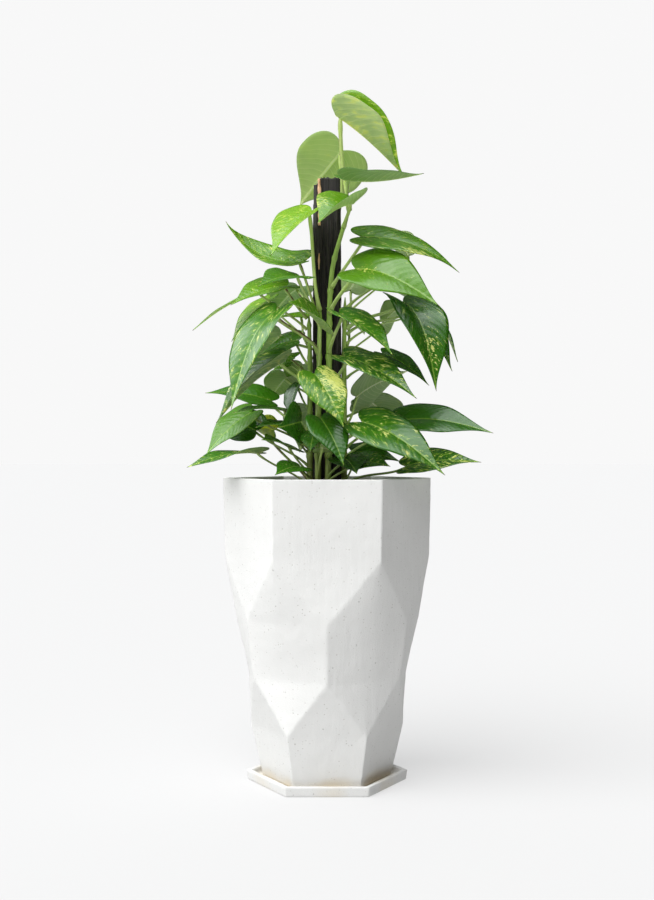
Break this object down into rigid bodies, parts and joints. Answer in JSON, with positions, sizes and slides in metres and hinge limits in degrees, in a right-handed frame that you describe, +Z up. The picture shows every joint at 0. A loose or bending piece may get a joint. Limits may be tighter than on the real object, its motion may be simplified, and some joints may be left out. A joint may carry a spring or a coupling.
{
  "type": "potted pothos plant",
  "caption": "Climbing pothos on a fibre post in a tall white faceted hexagonal clay pot with a matching saucer.",
  "frame": {"origin": "centre of the saucer's flat underside, on the surface that the plant stands on", "axes": "+Z up along the pot's axis, -Y towards the front, where one flat face of the pot looks"},
  "size_m": [0.3042, 0.2024, 0.6915],
  "materials": {
    "clay": "matt, unglazed, finely pitted",
    "soil": "dark crumbly potting mix",
    "tree_fern": "black sawn tree-fern fibre",
    "stem": "smooth green stem",
    "leaf": "satin green with cream and yellow streaks"
  },
  "bodies": {
    "root": {"saucer": "clay", "pot": "clay", "soil": "soil", "support_pole": "tree_fern", "vine_front_left": "stem", "vine_front_right": "stem", "vine_left": "stem", "vine_right": "stem", "vine_back": "stem", "leaf_01": "leaf", "leaf_02": "leaf", "leaf_03": "leaf", "leaf_04": "leaf", "leaf_05": "leaf", "leaf_06": "leaf", "leaf_07": "leaf", "leaf_08": "leaf", "leaf_09": "leaf", "leaf_10": "leaf", "leaf_11": "leaf", "leaf_12": "leaf", "leaf_13": "leaf", "leaf_14": "leaf", "leaf_15": "leaf", "leaf_16": "leaf", "leaf_17": "leaf", "leaf_18": "leaf", "leaf_19": "leaf", "leaf_20": "leaf", "leaf_21": "leaf", "leaf_22": "leaf", "leaf_23": "leaf", "leaf_24": "leaf", "leaf_25": "leaf", "leaf_26": "leaf", "leaf_27": "leaf", "leaf_28": "leaf", "leaf_29": "leaf", "leaf_30": "leaf", "leaf_31": "leaf", "leaf_32": "leaf", "leaf_33": "leaf", "leaf_34": "leaf", "leaf_35": "leaf", "leaf_36": "leaf", "leaf_37": "leaf", "leaf_38": "leaf", "leaf_39": "leaf", "leaf_40": "leaf", "leaf_41": "leaf", "leaf_42": "leaf", "leaf_43": "leaf", "leaf_44": "leaf", "leaf_45": "leaf", "leaf_46": "leaf", "leaf_47": "leaf", "leaf_48": "leaf", "leaf_49": "leaf", "leaf_50": "leaf", "leaf_51": "leaf"}
  },
  "joints": []
}
